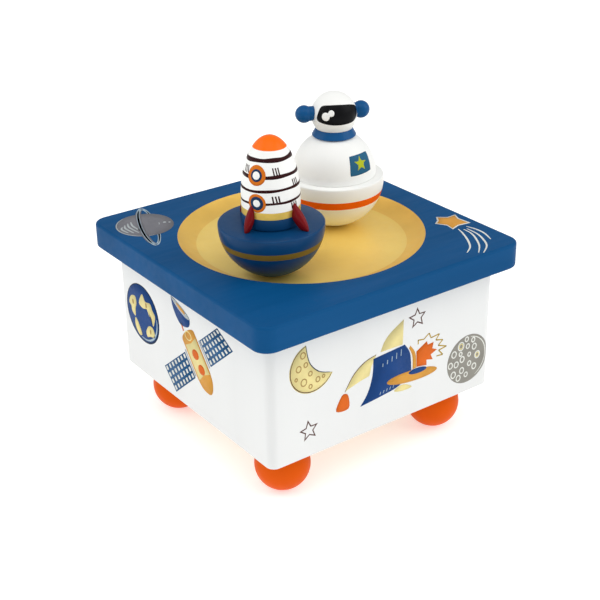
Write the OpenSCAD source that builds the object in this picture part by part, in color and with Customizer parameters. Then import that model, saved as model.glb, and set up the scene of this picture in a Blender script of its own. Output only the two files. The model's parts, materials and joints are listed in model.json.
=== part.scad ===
// Wind-up wooden music box. Two turned figures stand loose in a round dish on the lid, and a
// spring-driven movement inside carries a magnet arm round beneath them, so that they dance.
// Millimetres, +Z up, origin on the floor under the middle of the lid, front panel towards -Y.

/* [Case] */
// Width of the square lid
lid_w = 115; // [110:1:125]
// Thickness of the lid
lid_t = 9.7; // [9:0.1:12]
// Radius of the lid's upright corners
lid_corner_r = 6; // [3:0.5:10]
// Height of the top of the lid above the floor
lid_top_z = 78.8; // [78.8:0.1:90]
// Outer width of the square case
case_w = 101.2; // [98:0.5:104]
// Height of the underside of the case above the floor
case_bottom_z = 19.3; // [18.9:0.1:20]
// Thickness of the panels and of the base board
board_t = 5; // [4:0.5:5]
// Radius of the case's upright corners
case_corner_r = 3.5; // [2:0.5:5]

/* [Dish] */
// Radius of the dish at the top of the lid
dish_r = 45.8; // [44:0.1:50]
// Depth of the dish
dish_depth = 3.8; // [3:0.1:5]
// Radius of the flat floor of the dish
dish_floor_r = 36; // [34:0.5:38]

/* [Feet] */
// Radius of a ball foot
foot_r = 10.2; // [9.8:0.1:10.4]
// Height cut off the bottom of a ball foot to leave a flat
foot_flat = 0.2; // [0.1:0.05:0.3]
// Distance of a foot's centre from the side of the case
foot_inset = 14.9; // [12:0.1:16]

/* [Figures] */
// Radius of the round base under each figure
figure_r = 18.7; // [18:0.1:19]
// Gap between a figure's flat and the dish
figure_gap = 0.25; // [0.2:0.05:0.4]
// Distance of the rocket from the spindle
rocket_orbit = 29.2; // [28:0.1:30]
// Direction of the rocket from the spindle
rocket_azimuth = 213.4; // [205:0.1:220]
// Radius of the rocket's body
rocket_r = 10.25; // [9:0.05:11]
// Height of the rocket's body
rocket_h = 31.1; // [28:0.1:34]
// Distance of the astronaut from the spindle
astronaut_orbit = 21; // [20.5:0.1:22]
// Direction of the astronaut from the spindle
astronaut_azimuth = 17.2; // [10:0.1:25]
// Direction that the astronaut faces
astronaut_facing = 247.6; // [240:0.1:255]
// Radius of the astronaut's dome
dome_r = 15.7; // [15:0.1:16]
// Radius of the astronaut's head
head_r = 8.5; // [8:0.1:9]

/* [Movement] */
// Module of every gear
gear_m = 0.5; // [0.5:0.5:0.5]
// Teeth of the crown wheel
crown_teeth = 48; // [48:4:48]
// Teeth of the pinions
pinion_teeth = 12; // [12:4:12]
// Teeth of the gear on the end of the cylinder
cylinder_teeth = 36; // [36:4:36]
// Teeth of the wheel that drives the worm
worm_wheel_teeth = 16; // [16:4:16]
// Threads on the worm
worm_starts = 2; // [2:1:2]
// Tines of the comb, one for each track of the cylinder
tine_count = 18; // [16:1:20]
// Distance of the drive magnets from the spindle
arm_r = 25; // [23:0.5:27]

/* [Hidden] */

$fn = 64;
eps = 0.01;          // cutters run past a face by this much
run = 0.05;          // running clearance, on the radius, and the play round a screw or dowel

lid_bottom_z = lid_top_z - lid_t;
case_in = case_w / 2 - board_t;
board_top_z = case_bottom_z + board_t;
foot_xy = case_w / 2 - foot_inset;
dish_floor_z = lid_top_z - dish_depth;
// the dish's cove is an arc that leaves the floor level and meets the lid's top at the rim
cove_w = dish_r - dish_floor_r;
cove_r = (cove_w * cove_w + dish_depth * dish_depth) / (2 * dish_depth);

figure_flat_r = 3.9;
figure_drop = sqrt(figure_r * figure_r - figure_flat_r * figure_flat_r);
figure_foot_z = dish_floor_z + figure_gap;
figure_centre_z = figure_foot_z + figure_drop;
rocket_rim_z = figure_centre_z + 0.7;
astronaut_rim_z = figure_centre_z + 1.5;
rocket_straight_h = 9.8;
dowel_r = 2;
body_dowel_half = 6;
neck_dowel_half = 4;
dowel_slack = 0.5;       // a dowel's hole is this much deeper than the dowel
magnet_r = 3;
magnet_h = 2.5;
fin_azimuth = 15.6;
fin_top = 8.8;           // height of a fin's tip above the rim
fin_middle = 4.2;
fin_r = 1.5;             // roundness of a fin at its middle, its foot and its tip
fin_foot_r = 0.6;
fin_tip_r = 0.5;
// how far the foot of each hand-glued fin stands out
fin_reach = [14, 14, 14, 16.3];

dome_centre_z = astronaut_rim_z + 1;
collar_r = 8.35;         // widest, with a short flare below it and a long taper above
collar_foot_r = 7.4;
collar_flare_h = 0.45;
collar_t = 3.1;
collar_z = dome_centre_z + sqrt(dome_r * dome_r - collar_foot_r * collar_foot_r);
head_cut_r = 6.8;
head_z = collar_z + collar_t + sqrt(head_r * head_r - head_cut_r * head_cut_r);
ear_r = 3.25;
ear_stem_r = 2.7;
ear_z = head_z + 0.9;
ear_right_reach = 11.4;
ear_left_reach = 10.3;

// the movement stands on the base board, with its arbor on the box's centre line
bed_t = 2.5;
bed_top_z = board_top_z + bed_t;
barrel_r = 12;
barrel_h = 10;
barrel_wall = 1;
arbor_r = 2.5;
arbor_pivot_r = 1.5;
ratchet_z = bed_top_z + barrel_h + 0.5;
ratchet_t = 1.2;
crown_z = ratchet_z + 2.7;
crown_t = 1.2;
crown_face_z = crown_z + crown_t;
tooth_h = 2.2 * gear_m;
crown_pitch_r = crown_teeth * gear_m / 2;
pinion_pitch_r = pinion_teeth * gear_m / 2;
cylinder_gear_r = cylinder_teeth * gear_m / 2;
worm_wheel_r = worm_wheel_teeth * gear_m / 2;
train_z = crown_face_z + 0.65 + pinion_pitch_r;    // height of the cylinder's axis
cylinder_r = 6.5;
cylinder_x = 15.8;
cylinder_l = 19.4;
gear_x = 36.5;
gear_t = 1.5;
shaft_r = 1;
governor_x = 22.6;
governor_y = cylinder_gear_r + pinion_pitch_r;
worm_x = 31;
worm_pitch_r = 1.6;
worm_y = governor_y + worm_wheel_r + worm_pitch_r;
worm_lead = worm_starts * PI * gear_m;
worm_l = 8;
fly_pivot_r = 0.6;
fly_top_z = train_z + worm_l / 2 + 2.2;
arm_z = lid_bottom_z - 7;
arm_t = 1.5;
arm_azimuth = (rocket_azimuth - 180 + astronaut_azimuth) / 2;
bearing_xs = [14, 39];
outer_bearing_t = 1.5;
shaft_start_x = 10.5;
movement_screw_spots = [[-10, -18], [12, -24], [10, 18]];
foot_corners = [for (sx = [-1, 1], sy = [-1, 1]) [sx * foot_xy, sy * foot_xy]];

// wood screws through the base board, with sunk heads, and stouter ones into the feet
screw_r = 1.1;
screw_head_r = 2.4;
screw_head_t = 1.5;
foot_screw_r = 1.5;
foot_screw_head_r = 3;
key_hole_r = 6;
cleat_w = 6;
cleat_l = 60;
cleat_h = 8;
base_screw_spots = [for (sx = [-1, 1], sy = [-1, 1]) [sx * 22, sy * (case_in - cleat_w / 2)]];

// the comb stands on a block at the front of the bedplate
comb_t = 1.2;
comb_block_y = -28;
comb_block_w = 21;
comb_block_d = 7;
comb_screw_r = 1;
comb_screw_spots = [for (i = [0 : 2]) [cylinder_x + 2.5 + i * 7.2, comb_block_y + comb_block_d / 2]];

// ---------------------------------------------------------------- shared shapes

module rounded_square(w, r) {
    square([w - 2 * r, w], center = true);
    square([w, w - 2 * r], center = true);
    for (sx = [-1, 1], sy = [-1, 1])
        translate([sx * (w / 2 - r), sy * (w / 2 - r)])
            circle(r);
}

// a cylinder that stands from z0 to z1
module post(r, z0, z1) {
    translate([0, 0, z0])
        cylinder(r = r, h = z1 - z0);
}

// a countersunk or pan-headed screw pointing up from z0, with its head at the bottom
module screw_up(head_r, head_t, shank_r, length) {
    difference() {
        cylinder(r = head_r, h = head_t);
        translate([-head_r, -0.3, -eps])
            cube([2 * head_r, 0.6, 0.5]);
    }
    post(shank_r, head_t - eps, length);
}

// outline of a spur gear: a straight-sided tooth stands on each pitch, centred on +X
module gear_outline(teeth, tip_w = 0.3, pitch_w = 0.55, root_w = 0.8) {
    r = teeth * gear_m / 2;
    circle(r - 1.3 * gear_m);
    for (i = [0 : teeth - 1])
        rotate(i * 360 / teeth)
            polygon([
                [r - 1.4 * gear_m, -root_w / 2], [r, -pitch_w / 2], [r + 0.9 * gear_m, -tip_w / 2],
                [r + 0.9 * gear_m, tip_w / 2], [r, pitch_w / 2], [r - 1.4 * gear_m, root_w / 2]
            ]);
}

// lays a shape drawn along +Z onto the +X axis, with its own +X pointing towards +Y
module along_x() {
    rotate([90, 0, 90])
        children();
}

module at_azimuth(distance, azimuth) {
    translate([distance * cos(azimuth), distance * sin(azimuth), 0])
        children();
}

module at_rocket() { at_azimuth(rocket_orbit, rocket_azimuth) children(); }
module at_astronaut() { at_azimuth(astronaut_orbit, astronaut_azimuth) children(); }

// ---------------------------------------------------------------- case

module lid_board() {
    cove = [for (a = [0 : 5 : 40]) [dish_floor_r + cove_r * sin(a), cove_r * (1 - cos(a))]];
    color("steelblue")
        difference() {
            translate([0, 0, lid_bottom_z])
                linear_extrude(lid_t)
                    rounded_square(lid_w, lid_corner_r);
            translate([0, 0, dish_floor_z])
                rotate_extrude()
                    polygon(concat([[0, 0]], cove, [[dish_r, dish_depth], [dish_r, lid_t], [0, lid_t]]));
        }
}

// one side of the case, mitred at both ends; side 0 is the front and they follow clockwise from below
module case_panel(side) {
    color("whitesmoke")
        intersection() {
            translate([0, 0, case_bottom_z])
                linear_extrude(lid_bottom_z - case_bottom_z)
                    difference() {
                        rounded_square(case_w, case_corner_r);
                        square(2 * case_in, center = true);
                    }
            rotate(side * 90)
                linear_extrude(lid_top_z)
                    polygon([[0, 0], [-case_w, -case_w], [case_w, -case_w]]);
        }
}

module front_panel() { case_panel(0); }
module right_panel() { case_panel(1); }
module back_panel() { case_panel(2); }
module left_panel() { case_panel(3); }

module base_board() {
    color("tan")
        difference() {
            translate([-case_in, -case_in, case_bottom_z])
                cube([2 * case_in, 2 * case_in, board_t]);
            post(key_hole_r, case_bottom_z - eps, board_top_z + eps);
            for (p = foot_corners)
                translate(p)
                    post(foot_screw_r + run, case_bottom_z - eps, board_top_z + eps);
            for (p = concat(base_screw_spots, movement_screw_spots))
                translate(p) {
                    post(screw_r + run, case_bottom_z - eps, board_top_z + eps);
                    post(screw_head_r + run, case_bottom_z - eps, case_bottom_z + screw_head_t + run);
                }
        }
}

module foot(corner) {
    centre_z = foot_r - foot_flat;
    color("orangered")
        translate(corner)
            difference() {
                intersection() {
                    translate([0, 0, centre_z])
                        sphere(foot_r);
                    post(foot_r + 1, 0, case_bottom_z);
                }
                post(foot_screw_r + run, centre_z - 1, case_bottom_z + eps);
            }
}

module foot_front_left() { foot(foot_corners[0]); }
module foot_back_left() { foot(foot_corners[1]); }
module foot_front_right() { foot(foot_corners[2]); }
module foot_back_right() { foot(foot_corners[3]); }

module foot_screws() {
    color("silver")
        for (p = foot_corners)
            translate([p[0], p[1], board_top_z + screw_head_t])
                mirror([0, 0, 1])
                    screw_up(foot_screw_head_r, screw_head_t, foot_screw_r, board_top_z + screw_head_t - foot_r);
}

module base_cleats() {
    color("burlywood")
        for (sy = [-1, 1])
            difference() {
                translate([-cleat_l / 2, sy * (case_in - cleat_w / 2) - cleat_w / 2, board_top_z])
                    cube([cleat_l, cleat_w, cleat_h]);
                for (p = base_screw_spots)
                    translate(p)
                        post(screw_r + run, board_top_z - eps, board_top_z + cleat_h - screw_head_t);
            }
}

module base_screws() {
    color("silver")
        for (p = base_screw_spots)
            translate([p[0], p[1], case_bottom_z])
                screw_up(screw_head_r, screw_head_t, screw_r, board_t + cleat_h - 2);
}

// ---------------------------------------------------------------- movement, fixed pieces

module bedplate() {
    color("silver")
        difference() {
            union() {
                translate([-14, -29, board_top_z])
                    cube([56, 51, bed_t]);
                translate([cylinder_x - 0.8, comb_block_y, bed_top_z - eps])
                    cube([comb_block_w, comb_block_d, train_z - comb_t / 2 - bed_top_z + eps]);
            }
            post(arbor_r + run, board_top_z - eps, bed_top_z + eps);
            for (p = movement_screw_spots)
                translate(p)
                    post(screw_r + run, board_top_z - eps, bed_top_z + eps);
            translate([worm_x, worm_y, 0])
                post(fly_pivot_r + run, board_top_z + 0.5, bed_top_z + eps);
            for (p = comb_screw_spots)
                translate(p)
                    post(comb_screw_r + run, train_z - 5, train_z);
        }
}

module movement_screws() {
    color("silver")
        for (p = movement_screw_spots)
            translate([p[0], p[1], case_bottom_z])
                screw_up(screw_head_r, screw_head_t, screw_r, board_t + bed_t);
}

module spring_barrel() {
    color("gold")
        difference() {
            post(barrel_r, bed_top_z, bed_top_z + barrel_h);
            post(barrel_r - barrel_wall, bed_top_z + barrel_wall, bed_top_z + barrel_h + eps);
            post(arbor_r + 2 * run, bed_top_z - eps, bed_top_z + barrel_wall + eps);
        }
}

// flat spiral strip, from the arbor out to the barrel's wall
module mainspring() {
    turns = 6;
    steps = turns * 20;
    strip = 0.35;
    r_in = arbor_r + 0.6;
    r_out = barrel_r - barrel_wall - strip - 0.1;
    function at(i, extra) =
        (r_in + (r_out - r_in) * i / steps + extra)
        * [cos(360 * turns * i / steps), sin(360 * turns * i / steps)];
    color("slategray")
        translate([0, 0, bed_top_z + barrel_wall + 0.4])
            linear_extrude(barrel_h - barrel_wall - 1)
                polygon(concat(
                    [for (i = [0 : steps]) at(i, 0)],
                    [for (i = [steps : -1 : 0]) at(i, strip)]
                ));
}

// steel comb: one tine for each track
module comb() {
    pitch = (cylinder_l - 1) / tine_count;
    tip_y = -(cylinder_r + 0.6);
    root_y = comb_block_y + comb_block_d;
    color("lightsteelblue")
        difference() {
            translate([cylinder_x, 0, train_z - comb_t / 2]) {
                translate([-0.8, comb_block_y, 0])
                    cube([comb_block_w, comb_block_d, comb_t]);
                for (i = [0 : tine_count - 1])
                    translate([0.5 + (i + 0.15) * pitch, root_y - eps, comb_t / 6])
                        cube([pitch * 0.7, tip_y - root_y + eps, comb_t / 2]);
            }
            for (p = comb_screw_spots)
                translate(p)
                    post(comb_screw_r + run, train_z - comb_t, train_z + comb_t);
        }
}

module comb_screws() {
    color("silver")
        for (p = comb_screw_spots)
            translate([p[0], p[1], train_z + comb_t / 2 + 1.4])
                mirror([0, 0, 1])
                    screw_up(1.9, 1.4, comb_screw_r, 6);
}

module bearing_plate(x, thickness, y0, y1, holes) {
    color("silver")
        difference() {
            translate([x, y0, bed_top_z])
                cube([thickness, y1 - y0, train_z + 3 - bed_top_z]);
            for (y = holes)
                translate([x - eps, y, train_z])
                    along_x()
                        cylinder(r = shaft_r + run, h = thickness + 2 * eps);
        }
}

module inner_bearing() { bearing_plate(bearing_xs[0], 1, -3, 3, [0]); }
module outer_bearing() { bearing_plate(bearing_xs[1], outer_bearing_t, -4, governor_y + 3, [0, governor_y]); }

// upright plate with a shelf over the worm's spindle
module governor_frame() {
    plate_t = 1.2;
    shelf_w = 5;
    plate_y = governor_y - 2.6;
    color("silver")
        difference() {
            union() {
                translate([governor_x, plate_y, bed_top_z])
                    cube([plate_t, worm_y - 7, fly_top_z + plate_t - bed_top_z]);
                translate([governor_x, worm_y - shelf_w / 2, fly_top_z])
                    cube([worm_x - governor_x + shelf_w / 2, shelf_w, plate_t]);
            }
            translate([governor_x - eps, governor_y, train_z])
                along_x()
                    cylinder(r = shaft_r + run, h = plate_t + 2 * eps);
            translate([worm_x, worm_y, 0])
                post(fly_pivot_r + run, fly_top_z - eps, fly_top_z + plate_t + eps);
        }
}

// ---------------------------------------------------------------- winding arbor and key

module winding_arbor() {
    color("silver") {
        post(arbor_r, 8, ratchet_z);
        post(arbor_pivot_r, ratchet_z - eps, train_z - 1);
    }
}

module ratchet_wheel() {
    ratchet_r = 6;
    count = 24;
    color("gold")
        translate([0, 0, ratchet_z])
            linear_extrude(ratchet_t)
                difference() {
                    union() {
                        circle(ratchet_r - 0.9);
                        for (i = [0 : count - 1])
                            rotate(i * 360 / count)
                                polygon([[ratchet_r - 1.2, -0.6], [ratchet_r, 0.6], [ratchet_r - 1.2, 0.6]]);
                    }
                    circle(arbor_pivot_r);
                }
}

// butterfly key: a hub with a ring each side
module winding_key() {
    wing_r = 6;
    wing_x = 8.5;
    wing_z = 10.2;
    color("gold")
        difference() {
            union() {
                post(3.6, 5, 17.2);
                for (sx = [-1, 1])
                    translate([sx * wing_x, 0.9, wing_z])
                        rotate([90, 0, 0])
                            difference() {
                                cylinder(r = wing_r, h = 1.8);
                                translate([0, 0, -eps])
                                    cylinder(r = 3, h = 2);
                            }
            }
            post(arbor_r, 8, 17.3);
        }
}

// ---------------------------------------------------------------- crown wheel and magnet arm

module crown_wheel() {
    gap_half = 180 / crown_teeth;
    tooth_w = 0.4;
    color("gold") {
        difference() {
            post(crown_pitch_r + 1, crown_z, crown_face_z);
            post(arbor_pivot_r + run, crown_z - eps, crown_face_z + eps);
        }
        for (i = [0 : crown_teeth - 1])
            rotate(i * 360 / crown_teeth + gap_half)
                translate([crown_pitch_r - 1, -tooth_w / 2, crown_face_z - eps])
                    cube([1.8, tooth_w, tooth_h + eps]);
    }
}

// pawl under the crown wheel; its nose rides just clear of the ratchet wheel's teeth
module click() {
    color("slategray") {
        translate([0, 0, ratchet_z])
            linear_extrude(ratchet_t)
                polygon([[6.1, 1.6], [6.5, 1], [9.6, -0.8], [9.6, 1.4], [6.8, 2.4]]);
        translate([8.8, 0.5, 0])
            post(0.7, ratchet_z + ratchet_t - eps, crown_z);
    }
}

module drive_shaft() {
    color("silver")
        difference() {
            post(3, crown_face_z, arm_z);
            post(arbor_pivot_r + run, crown_face_z - eps, train_z - 0.8);
            post(1 + run, arm_z - 5, arm_z + eps);
        }
}

module magnet_arm() {
    color("silver")
        rotate(arm_azimuth)
            difference() {
                union() {
                    translate([-arm_r, -4, arm_z])
                        cube([2 * arm_r, 8, arm_t]);
                    for (s = [-1, 1])
                        translate([s * arm_r, 0, 0])
                            post(5.5, arm_z, arm_z + arm_t);
                }
                post(1 + run, arm_z - eps, arm_z + arm_t + eps);
            }
}

module drive_magnets() {
    color("dimgray")
        rotate(arm_azimuth)
            for (s = [-1, 1])
                translate([s * arm_r, 0, 0])
                    post(5, arm_z + arm_t, arm_z + arm_t + 4);
}

module arm_screw() {
    color("silver")
        translate([0, 0, arm_z + arm_t + 1.4])
            mirror([0, 0, 1])
                screw_up(2.2, 1.4, 1, arm_t + 1.4 + 4.5);
}

// ---------------------------------------------------------------- music cylinder

module music_cylinder() {
    color("gold")
        translate([cylinder_x, 0, train_z])
            along_x()
                difference() {
                    cylinder(r = cylinder_r, h = cylinder_l);
                    translate([0, 0, -eps])
                        cylinder(r = shaft_r, h = cylinder_l + 2 * eps);
                }
}

// five notes on each track, stepped round so that neighbouring tracks sound in turn
module cylinder_pins() {
    pitch = (cylinder_l - 1) / tine_count;
    color("silver")
        translate([cylinder_x, 0, train_z])
            for (track = [0 : tine_count - 1], note = [0 : 4])
                translate([0.5 + (track + 0.5) * pitch, 0, 0])
                    rotate([track * 53 + note * 72, 0, 0])
                        translate([0, 0, cylinder_r])
                            cylinder(r = 0.2, h = 0.4, $fn = 16);
}

module cylinder_shaft() {
    color("silver")
        translate([shaft_start_x, 0, train_z])
            along_x()
                cylinder(r = shaft_r, h = bearing_xs[1] + outer_bearing_t - shaft_start_x);
}

module cylinder_pinion() {
    color("gold")
        translate([11, 0, train_z])
            along_x()
                linear_extrude(2)
                    difference() {
                        gear_outline(pinion_teeth);
                        circle(shaft_r);
                    }
}

module cylinder_gear() {
    color("gold")
        translate([gear_x, 0, train_z])
            along_x()
                linear_extrude(gear_t)
                    difference() {
                        gear_outline(cylinder_teeth);
                        circle(shaft_r);
                    }
}

// ---------------------------------------------------------------- governor

module governor_pinion() {
    color("gold")
        translate([gear_x, governor_y, train_z])
            along_x()
                linear_extrude(gear_t)
                    difference() {
                        rotate(180 / pinion_teeth)
                            gear_outline(pinion_teeth);
                        circle(shaft_r);
                    }
}

module worm_wheel() {
    color("gold")
        translate([worm_x - 0.6, governor_y, train_z])
            along_x()
                linear_extrude(1.2)
                    difference() {
                        gear_outline(worm_wheel_teeth, 0.25, 0.4, 0.6);
                        circle(shaft_r);
                    }
}

module governor_shaft() {
    color("silver")
        translate([governor_x, governor_y, train_z])
            along_x()
                cylinder(r = shaft_r, h = bearing_xs[1] + outer_bearing_t - governor_x);
}

// two-start worm, cut so that a gap between threads faces the wheel at the shafts' height
module fly_worm() {
    thread_half = 26;
    turn = 360 * worm_l / worm_lead;
    color("silver")
        translate([worm_x, worm_y, train_z - worm_l / 2])
            rotate(-turn / 2)
                linear_extrude(worm_l, twist = -turn, slices = 40, $fn = 8)
                    union() {
                        circle(1, $fn = 24);
                        for (s = [0, 180])
                            rotate(s)
                                polygon(concat(
                                    [[0, 0]],
                                    [for (a = [-1, -0.5, 0, 0.5, 1])
                                        2 * [cos(a * thread_half), sin(a * thread_half)]]
                                ));
                    }
}

// air brake: two blades on the worm's spindle
module fly() {
    color("silver")
        translate([worm_x, worm_y, 0]) {
            post(fly_pivot_r, board_top_z + 0.7, train_z - worm_l / 2);
            post(fly_pivot_r, train_z + worm_l / 2, fly_top_z + 1);
            translate([-6, -0.3, bed_top_z + 3])
                cube([12, 0.6, 8]);
        }
}

// ---------------------------------------------------------------- figures

// turned base: a ball cut flat at the rim, with a small flat to stand on
module figure_base(rim_z) {
    difference() {
        intersection() {
            translate([0, 0, figure_centre_z])
                sphere(figure_r, $fn = 96);
            post(figure_r + 1, figure_foot_z, rim_z);
        }
        post(magnet_r + run, figure_foot_z - eps, figure_foot_z + magnet_h + 0.1);
        post(dowel_r + run, rim_z - body_dowel_half - dowel_slack, rim_z + eps);
    }
}

module figure_magnet() {
    color("dimgray")
        post(magnet_r, figure_foot_z, figure_foot_z + magnet_h);
}

module dowel(z, half) {
    color("burlywood")
        post(dowel_r, z - half, z + half);
}

module rocket_magnet() { at_rocket() figure_magnet(); }

module rocket_base() {
    color("steelblue")
        at_rocket()
            figure_base(rocket_rim_z);
}

// straight collar below and half an ellipse above
module rocket_body() {
    tip_h = rocket_h - rocket_straight_h;
    ogive = [for (a = [0 : 6 : 90]) [rocket_r * cos(a), rocket_straight_h + tip_h * sin(a)]];
    color("white")
        at_rocket()
            translate([0, 0, rocket_rim_z])
                difference() {
                    rotate_extrude()
                        polygon(concat([[0, 0], [rocket_r, 0]], ogive));
                    post(dowel_r + run, -eps, body_dowel_half + dowel_slack);
                }
}

module rocket_dowel() { at_rocket() dowel(rocket_rim_z, body_dowel_half); }

// leaf-shaped fin that leans on the body and stands on the base
module rocket_fin(number) {
    color("firebrick")
        at_rocket()
            rotate(fin_azimuth + 90 * number)
                translate([0, 0, rocket_rim_z])
                    difference() {
                        hull() {
                            translate([rocket_r - 0.4, 0, fin_top])
                                sphere(fin_tip_r, $fn = 24);
                            translate([(rocket_r + fin_reach[number]) / 2 - 0.9, 0, fin_middle])
                                sphere(fin_r, $fn = 24);
                            translate([fin_reach[number] - fin_foot_r, 0, fin_foot_r / 2])
                                sphere(fin_foot_r, $fn = 24);
                        }
                        cylinder(r = rocket_r, h = 2 * fin_top);
                        translate([0, -2 * fin_r, -2 * fin_r])
                            cube([2 * rocket_r, 4 * fin_r, 2 * fin_r]);
                    }
}

module rocket_fin_1() { rocket_fin(0); }
module rocket_fin_2() { rocket_fin(1); }
module rocket_fin_3() { rocket_fin(2); }
module rocket_fin_4() { rocket_fin(3); }

module astronaut_magnet() { at_astronaut() figure_magnet(); }

module astronaut_base() {
    color("white")
        at_astronaut()
            figure_base(astronaut_rim_z);
}

module astronaut_dome() {
    color("white")
        at_astronaut()
            difference() {
                intersection() {
                    translate([0, 0, dome_centre_z])
                        sphere(dome_r, $fn = 96);
                    post(dome_r + 1, astronaut_rim_z, collar_z);
                }
                post(dowel_r + run, astronaut_rim_z - eps, astronaut_rim_z + body_dowel_half + dowel_slack);
                post(dowel_r + run, collar_z - neck_dowel_half, collar_z + eps);
            }
}

module astronaut_collar() {
    color("steelblue")
        at_astronaut()
            translate([0, 0, collar_z])
                rotate_extrude()
                    polygon([
                        [dowel_r + run, 0], [collar_foot_r, 0], [collar_r, collar_flare_h],
                        [head_cut_r, collar_t], [dowel_r + run, collar_t]
                    ]);
}

module astronaut_head() {
    color("white")
        at_astronaut()
            difference() {
                intersection() {
                    translate([0, 0, head_z])
                        sphere(head_r);
                    post(head_r + 1, collar_z + collar_t, head_z + head_r + 1);
                }
                post(dowel_r + run, collar_z, collar_z + collar_t + neck_dowel_half);
            }
}

// round pod on a short stem; side is 1 for the astronaut's left and -1 for the right
module astronaut_ear(side, reach) {
    color("steelblue")
        at_astronaut()
            rotate(astronaut_facing + side * 90)
                translate([0, 0, ear_z])
                    difference() {
                        union() {
                            translate([reach, 0, 0])
                                sphere(ear_r);
                            rotate([0, 90, 0])
                                post(ear_stem_r, head_r - 1.5, reach);
                        }
                        translate([0, 0, head_z - ear_z])
                            sphere(head_r);
                    }
}

module astronaut_ear_left() { astronaut_ear(1, ear_left_reach); }
module astronaut_ear_right() { astronaut_ear(-1, ear_right_reach); }
module body_dowel() { at_astronaut() dowel(astronaut_rim_z, body_dowel_half); }
module neck_dowel() { at_astronaut() dowel(collar_z + collar_t / 2, neck_dowel_half); }

// ---------------------------------------------------------------- assembly

lid_board();
front_panel();
back_panel();
left_panel();
right_panel();
base_board();
foot_front_left();
foot_front_right();
foot_back_left();
foot_back_right();
foot_screws();
base_cleats();
base_screws();
bedplate();
movement_screws();
spring_barrel();
mainspring();
comb();
comb_screws();
inner_bearing();
outer_bearing();
governor_frame();
winding_arbor();
ratchet_wheel();
winding_key();
crown_wheel();
click();
drive_shaft();
magnet_arm();
drive_magnets();
arm_screw();
music_cylinder();
cylinder_pins();
cylinder_shaft();
cylinder_pinion();
cylinder_gear();
governor_pinion();
worm_wheel();
governor_shaft();
fly_worm();
fly();
rocket_magnet();
rocket_base();
rocket_body();
rocket_dowel();
rocket_fin_1();
rocket_fin_2();
rocket_fin_3();
rocket_fin_4();
astronaut_magnet();
astronaut_base();
astronaut_dome();
astronaut_collar();
astronaut_head();
astronaut_ear_right();
astronaut_ear_left();
body_dowel();
neck_dowel();
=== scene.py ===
"""Looks of the wooden wind-up music box: painted shells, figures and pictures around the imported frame.

Shapes are drawn in millimetres in the frame's own axes and become metres when a piece is made.
"""

import json
import random
from math import atan2, copysign, cos, degrees, hypot, pi, radians, sin, sqrt, tan, tau

import bmesh
import bpy
from mathutils import Matrix, Vector
from mathutils.geometry import tessellate_polygon


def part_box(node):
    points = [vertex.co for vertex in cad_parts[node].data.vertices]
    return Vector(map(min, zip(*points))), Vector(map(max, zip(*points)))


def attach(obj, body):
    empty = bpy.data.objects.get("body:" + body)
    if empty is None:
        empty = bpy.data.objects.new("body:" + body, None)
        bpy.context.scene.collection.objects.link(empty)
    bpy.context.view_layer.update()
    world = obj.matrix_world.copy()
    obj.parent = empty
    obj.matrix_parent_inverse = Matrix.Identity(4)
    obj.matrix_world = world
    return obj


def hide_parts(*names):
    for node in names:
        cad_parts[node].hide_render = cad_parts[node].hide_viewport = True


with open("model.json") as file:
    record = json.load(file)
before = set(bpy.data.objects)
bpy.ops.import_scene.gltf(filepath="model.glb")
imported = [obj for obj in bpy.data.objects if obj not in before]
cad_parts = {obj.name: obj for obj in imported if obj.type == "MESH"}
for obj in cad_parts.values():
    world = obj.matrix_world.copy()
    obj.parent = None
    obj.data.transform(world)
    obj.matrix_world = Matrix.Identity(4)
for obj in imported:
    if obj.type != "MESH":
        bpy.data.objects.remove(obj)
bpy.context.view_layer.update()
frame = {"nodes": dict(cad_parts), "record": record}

MM = 0.001
ROUND = 144            # points round a turned piece
SUNK = 0.02            # a painted shape starts this far under the surface, in mm
COAT = 0.03            # and each layer of paint stands this far above the one before


def box(node):
    """Lowest and highest corner of a CAD node, in millimetres."""
    low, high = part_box(node)
    return low / MM, high / MM


# ---------------------------------------------------------------- sizes from the frame

lid_low, lid_high = box("lid_board")
LID_HALF = lid_high.x
LID_TOP = lid_high.z
LID_BOTTOM = lid_low.z
LID_CORNER = 6.0
DISH_R = 45.8
DISH_FLOOR_R = 36.0
DISH_DEPTH = 3.8
side_low = box("left_panel")[0]
CASE_HALF = -side_low.x
CASE_BOTTOM = side_low.z
BOARD = 5.0
CASE_CORNER = 3.5


def middle(node):
    """Centre of a node's box as (x, y), in millimetres."""
    low, high = box(node)
    return (low.x + high.x) / 2, (low.y + high.y) / 2


ROCKET = middle("rocket_body")
ASTRONAUT = middle("astronaut_dome")
FIGURE_R = (box("rocket_base")[1].x - box("rocket_base")[0].x) / 2
FIGURE_FOOT = box("rocket_base")[0].z
FIGURE_FLAT = 3.9      # radius of the flat that a figure stands on
FIGURE_CENTRE = FIGURE_FOOT + sqrt(FIGURE_R ** 2 - FIGURE_FLAT ** 2)
ROCKET_RIM = box("rocket_base")[1].z
ASTRONAUT_RIM = box("astronaut_base")[1].z
FACING = 247.6         # direction the astronaut looks in, in degrees


# ---------------------------------------------------------------- outlines

def arc(centre, radius, start, end, steps):
    """Points on a circle from one angle to another, in degrees."""
    turns = [radians(start + (end - start) * i / steps) for i in range(steps + 1)]
    return [(centre[0] + radius * cos(a), centre[1] + radius * sin(a)) for a in turns]


def oval(centre, across, tall, steps):
    """Points on an ellipse, from its half width and half height."""
    turns = [tau * i / steps for i in range(steps)]
    return [(centre[0] + across * cos(a), centre[1] + tall * sin(a)) for a in turns]


def smooth(a, b, c, d, t):
    """Catmull-Rom value between b and c."""
    bend = 2 * a - 5 * b + 4 * c - d
    twist = 3 * b - a - 3 * c + d
    return 0.5 * (2 * b + (c - a) * t + bend * t * t + twist * t ** 3)


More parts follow.
